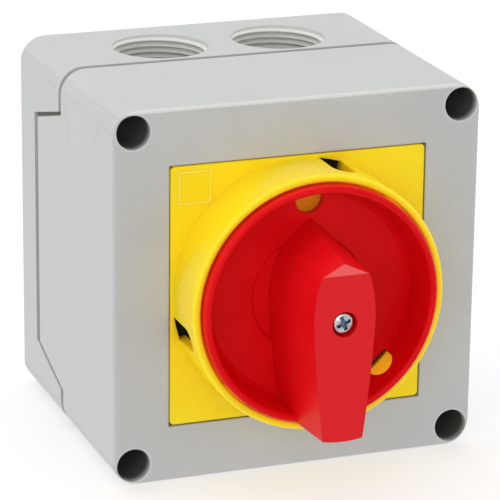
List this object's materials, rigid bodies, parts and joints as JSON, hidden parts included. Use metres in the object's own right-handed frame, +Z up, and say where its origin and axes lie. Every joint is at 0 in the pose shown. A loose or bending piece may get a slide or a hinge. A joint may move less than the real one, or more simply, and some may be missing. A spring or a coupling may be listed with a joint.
{
  "type": "rotary isolator switch",
  "caption": "Surface-mounted rotary isolator: stepped square plastic enclosure, yellow padlockable collar plate and red dished handle that opens sliding bridge contacts.",
  "frame": {"origin": "centre of the flat rear face of the base, on the wall plane and on the handle's turning axis", "axes": "+X right seen from the front, +Z up, +Y into the wall; the handle faces -Y"},
  "size_m": [0.0962, 0.1107, 0.0962],
  "materials": {
    "case_grey": "fine matte texture",
    "gasket_black": "matte",
    "zinc_screw": "zinc plated",
    "yellow_plastic": "semi gloss",
    "red_plastic": "semi gloss",
    "shaft_steel": "drawn steel",
    "block_plastic": "glass filled, matte",
    "carrier_plastic": "natural nylon",
    "cam_plastic": "natural acetal",
    "brass": "stamped",
    "copper": "silver faced copper",
    "spring_steel": "spring wire"
  },
  "bodies": {
    "enclosure": {"rear_base": "case_grey", "front_cover": "case_grey", "cover_gasket": "gasket_black", "cover_screws": "zinc_screw", "cover_screw_washers": "gasket_black", "yellow_faceplate": "yellow_plastic", "faceplate_gasket": "gasket_black", "faceplate_screws": "zinc_screw", "hub_seal": "gasket_black", "mounting_foot": "block_plastic", "foot_screws": "zinc_screw", "rear_bearing_plate": "block_plastic", "contact_chamber_rear": "block_plastic", "contact_chamber_front": "block_plastic", "line_contacts": "brass", "load_contacts": "brass", "terminal_clamps": "zinc_screw", "terminal_screws": "zinc_screw", "latch_housing": "block_plastic", "latch_cover": "block_plastic", "detent_plungers": "carrier_plastic", "detent_springs": "spring_steel", "tie_bolts": "zinc_screw", "tie_nuts": "zinc_screw", "earth_terminal": "brass", "earth_screws": "zinc_screw", "contact_spring_l1": "spring_steel", "contact_spring_l2": "spring_steel", "contact_spring_l3": "spring_steel", "contact_spring_neutral": "spring_steel"},
    "rotor": {"red_handle": "red_plastic", "handle_screw": "zinc_screw", "drive_shaft": "shaft_steel", "cam_rear": "cam_plastic", "cam_front": "cam_plastic", "detent_wheel": "cam_plastic"},
    "moving_contact_l1": {"contact_bridge_l1": "copper", "contact_carrier_l1": "carrier_plastic"},
    "moving_contact_l2": {"contact_bridge_l2": "copper", "contact_carrier_l2": "carrier_plastic"},
    "moving_contact_l3": {"contact_bridge_l3": "copper", "contact_carrier_l3": "carrier_plastic"},
    "moving_contact_neutral": {"contact_bridge_neutral": "copper", "contact_carrier_neutral": "carrier_plastic"}
  },
  "joints": [
    {"name": "handle_turn", "type": "hinge", "parent": "enclosure", "child": "rotor", "pos_m": [0, -0.0791, 0], "axis": [0, -1, 0], "range_deg": [0, 90]},
    {"name": "contact_travel_l1", "type": "slide", "parent": "enclosure", "child": "moving_contact_l1", "axis": [-1, 0, 0], "range_m": [0, 0.0021], "deforming": ["contact_spring_l1"]},
    {"name": "contact_travel_l2", "type": "slide", "parent": "enclosure", "child": "moving_contact_l2", "axis": [1, 0, 0], "range_m": [0, 0.0021], "deforming": ["contact_spring_l2"]},
    {"name": "contact_travel_l3", "type": "slide", "parent": "enclosure", "child": "moving_contact_l3", "axis": [-1, 0, 0], "range_m": [0, 0.0021], "deforming": ["contact_spring_l3"]},
    {"name": "contact_travel_neutral", "type": "slide", "parent": "enclosure", "child": "moving_contact_neutral", "axis": [1, 0, 0], "range_m": [0, 0.0021], "deforming": ["contact_spring_neutral"]}
  ],
  "couplings": [
    {"joint": "contact_travel_l1", "follows": "handle_turn", "m_per_rad": 0.0012732},
    {"joint": "contact_travel_l2", "follows": "handle_turn", "m_per_rad": 0.0012732},
    {"joint": "contact_travel_l3", "follows": "handle_turn", "m_per_rad": 0.0012732},
    {"joint": "contact_travel_neutral", "follows": "handle_turn", "m_per_rad": 0.0012732}
  ]
}
